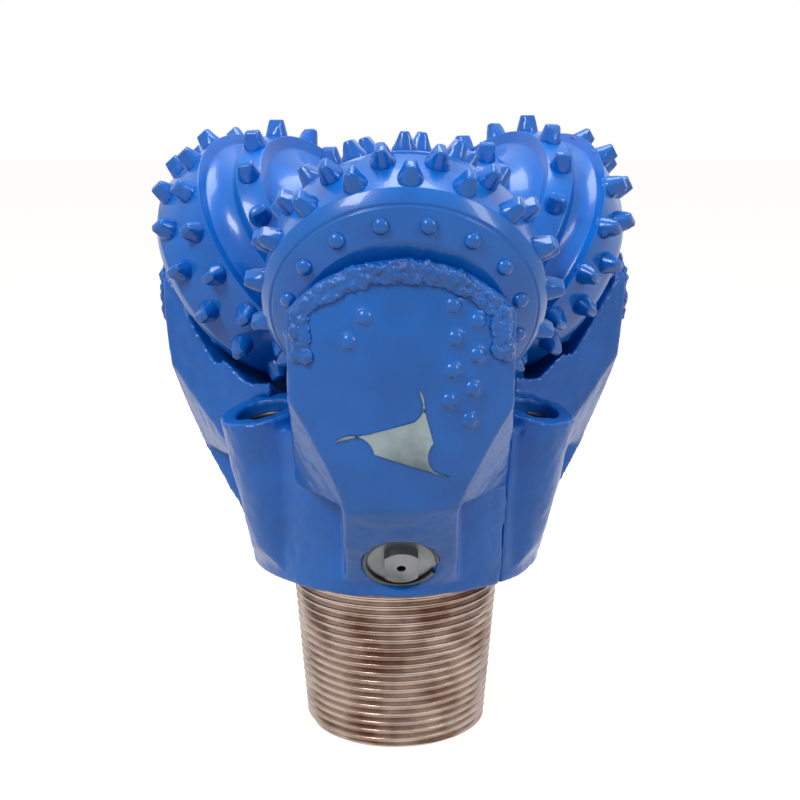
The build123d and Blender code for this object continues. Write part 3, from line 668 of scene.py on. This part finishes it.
def round_corners(bm):
    """Bevels the corners of an open outline before it is spun."""
    corners = []
    for vert in bm.verts:
        if len(vert.link_edges) == 2:
            a, b = [(e.other_vert(vert).co - vert.co).normalized() for e in vert.link_edges]
            if math.degrees(math.pi - a.angle(b)) > CORNER_ANGLE:
                corners.append(vert)
    bmesh.ops.bevel(bm, geom=corners, offset=CORNER_WIDTH * MM, offset_type="OFFSET", segments=3,
                    profile=0.5, affect="VERTICES", material=-1, clamp_overlap=True)


def line_of(bm, path):
    """A vertex for each (station, radius)."""
    return [bm.verts.new((radius * MM, 0, station * MM)) for station, radius in path]


for leg in LEGS:
    bm = bmesh.new()
    path = cone_outline(leg)
    skin = line_of(bm, path + [(path[-1][0], 0)])
    draw_line(bm, skin)
    round_corners(bm)
    hollow = line_of(bm, INSIDE)
    draw_line(bm, line_of(bm, [(INSIDE[0][0], 0)]) + hollow + [skin[0]])
    bmesh.ops.spin(bm, geom=bm.verts[:] + bm.edges[:], cent=(0, 0, 0), axis=(0, 0, 1),
                   angle=math.tau, steps=SPIN_STEPS, use_merge=True)
    bmesh.ops.remove_doubles(bm, verts=bm.verts, dist=0.005 * MM)
    bmesh.ops.recalc_face_normals(bm, faces=bm.faces)
    bmesh.ops.transform(bm, matrix=cone_frame(leg), verts=bm.verts)
    make_piece(bm, f"cone_shell_{leg}", turned_enamel, f"cone_body_{leg}", "blue_paint_gloss", 24,
               f"cone_{leg}")

# %% [markdown]
# A chisel insert is a sintered carbide plug. Above its shank it is a cone with a scooped flat on
# each side, and the flats meet in a blunt crest. One ring of edges is raised in steps of height,
# cone radius and half thickness. At each step it shrinks as the cone does, and its sides are held
# in to the flats. A heel insert is a low dome, raised in the same way.

# %% Single inserts
INSERT_RADIUS = 8.0
CHISEL_SIDES = 16
CHISEL_STEPS = ((0.0, 8.0, 8.0), (1.6, 7.8, 7.7), (4.0, 7.1, 6.1), (7.0, 6.4, 4.6),
                (10.0, 5.7, 3.3), (11.1, 5.3, 2.7), (11.5, 4.7, 2.0))
DOME_RADIUS = 5.6
DOME_HEIGHT = 4.0
DOME_SIDES = 14
DOME_STEPS = 4
SINK = 3.0


def foot_of(bm, radius, sides):
    """Closed foot of an insert, sunk in its hole, and the loop of edges to raise."""
    loop = ring(bm, radius, -SINK, sides)
    bmesh.ops.holes_fill(bm, edges=loop, sides=0)
    return loop


def raised(bm, loop):
    """Extrudes a loop of edges, and gives its new vertices and its new loop."""
    geom = bmesh.ops.extrude_edge_only(bm, edges=loop)["geom"]
    verts = [v for v in geom if isinstance(v, bmesh.types.BMVert)]
    return verts, [e for e in geom if isinstance(e, bmesh.types.BMEdge) and e.is_boundary]


def chisel():
    """An insert with a blunt crest."""
    bm = bmesh.new()
    loop = foot_of(bm, INSERT_RADIUS, CHISEL_SIDES)
    for height, radius, half in CHISEL_STEPS:
        verts, loop = raised(bm, loop)
        for vert in verts:
            flat = vert.co.xy.normalized() * radius * MM
            vert.co = (flat.x, max(-half * MM, min(half * MM, flat.y)), height * MM)
    bmesh.ops.holes_fill(bm, edges=loop, sides=0)
    bmesh.ops.recalc_face_normals(bm, faces=bm.faces)
    return bm


def dome():
    """An insert with a round top, closed by a fan of triangles."""
    bm = bmesh.new()
    loop = foot_of(bm, DOME_RADIUS, DOME_SIDES)
    for step in range(DOME_STEPS):
        angle = math.pi / 2 * step / DOME_STEPS
        verts, loop = raised(bm, loop)
        for vert in verts:
            flat = vert.co.xy.normalized() * DOME_RADIUS * math.cos(angle) * MM
            vert.co = (flat.x, flat.y, DOME_HEIGHT * math.sin(angle) * MM)
    bmesh.ops.holes_fill(bm, edges=loop, sides=0)
    top = [f for f in bm.faces
           if all(v.co.z > DOME_HEIGHT * 0.5 * MM for v in f.verts) and len(f.verts) > 4]
    bmesh.ops.poke(bm, faces=top, offset=0)
    for vert in bm.verts:
        if vert.co.xy.length < 0.1 * MM and vert.co.z > 0:
            vert.co.z = DOME_HEIGHT * MM
    bmesh.ops.recalc_face_normals(bm, faces=bm.faces)
    return bm


print("inserts stand", CHISEL_STEPS[-1][0], "mm proud")

# %% [markdown]
# The gauge land carries two rows of inserts, each land inside it one, and the heel a row of
# domes. The crests run along the cone, from gauge to nose. Each kind is one piece on each cone.

# %% Rows of inserts
GAUGE_COUNT = 17
GAUGE_SHARES = ((0.24, 0.1), (0.76, 0.6))
ROW_TURN = 0.3
HEEL_COUNT = 16
HEEL_STATION = 157.2
HEEL_RADIUS = 72.6
HEEL_TURN = 0.5


def spread(single, places):
    """One bmesh with a copy of the single insert at each place."""
    pattern = bpy.data.meshes.new("pattern")
    single.to_mesh(pattern)
    single.free()
    out = bmesh.new()
    for place in places:
        moved = pattern.copy()
        moved.transform(place)
        out.from_mesh(moved)
        bpy.data.meshes.remove(moved)
    bpy.data.meshes.remove(pattern)
    return out


def row_places(leg, count, station, radius, lean, turn, size=1.0):
    """Matrices of a row of inserts round the cone."""
    for number in range(count):
        around = Matrix.Rotation(math.tau * (number + turn) / count, 4, "Z")
        stand = Matrix.Translation((radius * MM, 0, station * MM))
        yield (cone_frame(leg) @ around @ stand @ Matrix.Rotation(lean, 4, "Y")
               @ Matrix.Scale(size, 4))


def lean_of(outer, inner):
    """Lean that stands an insert square on a land."""
    return math.pi / 2 - math.atan2(inner[1] - outer[1], outer[0] - inner[0])


def set_inserts(leg, single, places, name, sharp_angle, replaced):
    """One piece of inserts that turns with its cone."""
    make_piece(spread(single, places), f"{name}_{leg}", carbide_enamel, f"cone_body_{leg}",
               "painted_carbide", sharp_angle, f"{replaced}_{leg}")


for leg in LEGS:
    outer, inner = land_ends(leg)[0]
    gauge = []
    for share, turn in GAUGE_SHARES:
        station = outer[0] + share * (inner[0] - outer[0])
        radius = outer[1] + share * (inner[1] - outer[1])
        gauge += row_places(leg, GAUGE_COUNT, station, radius, lean_of(outer, inner), turn)
    set_inserts(leg, chisel(), gauge, "gauge_chisels", 38, "gauge_inserts")
    inside = []
    for number, (count, station, radius, size) in enumerate(ROWS[leg]):
        inside += row_places(leg, count, station, radius, math.pi / 2 + JOURNAL_ANGLE,
                             ROW_TURN * number, size)
    set_inserts(leg, chisel(), inside, "inner_chisels", 38, "inner_inserts")
    heel = row_places(leg, HEEL_COUNT, HEEL_STATION, HEEL_RADIUS, lean_of(BACK[1], BACK[2]),
                      HEEL_TURN)
    set_inserts(leg, dome(), heel, "heel_domes", 0, "heel_inserts")

# %% [markdown]
# Hardfacing is a bead of weld metal laid by hand along the shirttail's edge, so it is lumpy, with
# ripples and beads of spatter. It is made as the welder makes it: drop by drop along the edge, in
# two uneven rows. The drops are then melted together on a fine grid and roughened. Each row gives
# its inset from the edge, its scatter and the size of its drops.

# %% Hard metal beads
HALF_WIDTH = 70.0
ARCH_TOP = 360.0
LEFT_FOOT = 300.0
RIGHT_FOOT = 297.0
BEAD_STEP = 3.2
BEAD_ROWS = ((5.0, 1.2, 4.6), (10.5, 2.4, 4.2))
DROP_LIFT = 0.3
DROP_FLATNESS = 0.62
BEAD_GRID = 0.9
BEAD_RIPPLES = (5.0, 1.3)
BEAD_SPATTER = (2.2, 0.7)


def arch_path(inset):
    """Points (side, height) up the left edge, over the arch and down the right edge."""
    half = HALF_WIDTH - inset
    rise = ARCH_TOP - inset - BACK_TOP[1]
    radius = (half * half + rise * rise) / (2 * rise)
    reach = math.asin(half / radius)
    climb = int((BACK_TOP[1] - LEFT_FOOT) / BEAD_STEP)
    path = [(-half, LEFT_FOOT + BEAD_STEP * k) for k in range(climb)]
    count = int(2 * reach * radius / BEAD_STEP)
    for k in range(count + 1):
        angle = reach * (2 * k / count - 1)
        height = ARCH_TOP - inset - radius * (1 - math.cos(angle))
        path.append((radius * math.sin(angle), height))
    fall = int((BACK_TOP[1] - RIGHT_FOOT) / BEAD_STEP)
    return path + [(half, BACK_TOP[1] - BEAD_STEP * k) for k in range(1, fall)]


for leg in LEGS:
    noise.seed_set(20 + leg)
    bm = bmesh.new()
    for inset, scatter, size in BEAD_ROWS:
        for side, height in arch_path(inset):
            side += scatter * (noise.random() - 0.5)
            height += scatter * (noise.random() - 0.5)
            drop = size * (0.8 + 0.5 * noise.random())
            flat = Matrix.Diagonal((1, 1, DROP_FLATNESS, 1))
            bmesh.ops.create_icosphere(bm, subdivisions=2, radius=drop * MM,
                                       matrix=back_place(leg, side, height, DROP_LIFT) @ flat)
    bm = remeshed(bm, BEAD_GRID, 1)
    roughen(bm, *BEAD_RIPPLES, leg + 5)
    roughen(bm, *BEAD_SPATTER, leg + 11)
    make_piece(bm, f"weld_bead_{leg}", weld_enamel, "bit_body", "hard_metal", 0,
               f"hard_metal_bead_{leg}")

# %% [markdown]
# The studio is a white sweep. Floor and world look white to the camera and in reflections, and
# for soft light they are dimmer, so the floor still takes the bit's shadow.

# %% Floor and world
FLOOR_HALF_WIDTH = 12.0
FLOOR_GLOW = 0.86
WORLD_LIGHT = 0.30
WHITE = (1, 1, 1, 1)
BLACK = (0, 0, 0, 1)


def larger(tree, first, second):
    """The larger of two values."""
    made = add_node(tree, "ShaderNodeMath", {"operation": "MAXIMUM"})
    tree.links.new(first, made.inputs[0])
    tree.links.new(second, made.inputs[1])
    return made.outputs[0]


def seen_or_soft(tree, soft, seen):
    """The second shader for camera, mirror and glass rays, and the first for soft light."""
    rays = add_node(tree, "ShaderNodeLightPath").outputs
    sharp = larger(tree, rays["Is Glossy Ray"], rays["Is Transmission Ray"])
    pick = add_node(tree, "ShaderNodeMixShader")
    tree.links.new(larger(tree, rays["Is Camera Ray"], sharp), pick.inputs[0])
    tree.links.new(soft.outputs[0], pick.inputs[1])
    tree.links.new(seen.outputs[0], pick.inputs[2])
    return pick


floor_mesh = bpy.data.meshes.new("studio_floor")
bm = bmesh.new()
bmesh.ops.create_grid(bm, x_segments=1, y_segments=1, size=FLOOR_HALF_WIDTH)
bm.to_mesh(floor_mesh)
bm.free()
floor = bpy.data.objects.new("studio_floor", floor_mesh)
bpy.context.scene.collection.objects.link(floor)
floor.location = (0, 0, cad_box[0][2])
material, tree, place = new_material("white_sweep")
paper = add_node(tree, "ShaderNodeBsdfDiffuse", {"Color": colour("#b5aaa2")})
dark = add_node(tree, "ShaderNodeEmission", {"Color": BLACK, "Strength": 0.0})
glow = add_node(tree, "ShaderNodeEmission", {"Color": WHITE, "Strength": FLOOR_GLOW})
both = add_node(tree, "ShaderNodeAddShader")
tree.links.new(paper.outputs[0], both.inputs[0])
tree.links.new(seen_or_soft(tree, dark, glow).outputs[0], both.inputs[1])
floor_mesh.materials.append(finish(material, tree, both))

world = bpy.data.worlds.new("studio")
bpy.context.scene.world = world
world.use_nodes = True
tree = world.node_tree
tree.nodes.clear()
lit = add_node(tree, "ShaderNodeBackground", {"Color": WHITE, "Strength": WORLD_LIGHT})
white = add_node(tree, "ShaderNodeBackground", {"Color": WHITE, "Strength": 1.0})
out = add_node(tree, "ShaderNodeOutputWorld")
tree.links.new(seen_or_soft(tree, lit, white).outputs[0], out.inputs["Surface"])
print("floor at", tuple(floor.location))

# %% [markdown]
# Three soft lamps light the bit: a key from the left, a weaker fill from the right and a wide one
# overhead. A large lamp gives long, soft highlights on gloss paint.

# %% Lamps
def softbox(name, place, aim, size, watts):
    """Rectangular lamp turned to its aim."""
    light = bpy.data.lights.new(name, "AREA")
    light.shape = "RECTANGLE"
    light.size, light.size_y = size
    light.energy = watts
    lamp = bpy.data.objects.new(name, light)
    bpy.context.scene.collection.objects.link(lamp)
    lamp.location = place
    lamp.rotation_euler = (Vector(aim) - Vector(place)).to_track_quat("-Z", "Y").to_euler()
    print(name, watts, "W")


softbox("key_left", place=(-0.9, -1.1, 1.5), aim=(0, 0, 0.25), size=(0.42, 0.7), watts=19)
softbox("fill_right", place=(1.3, -0.9, 1.0), aim=(0, 0, 0.25), size=(0.30, 0.8), watts=8)
softbox("top", place=(0.1, 0.2, 1.9), aim=(0, 0, 0.3), size=(0.9, 0.7), watts=16)
bpy.context.scene.view_settings.view_transform = "Standard"
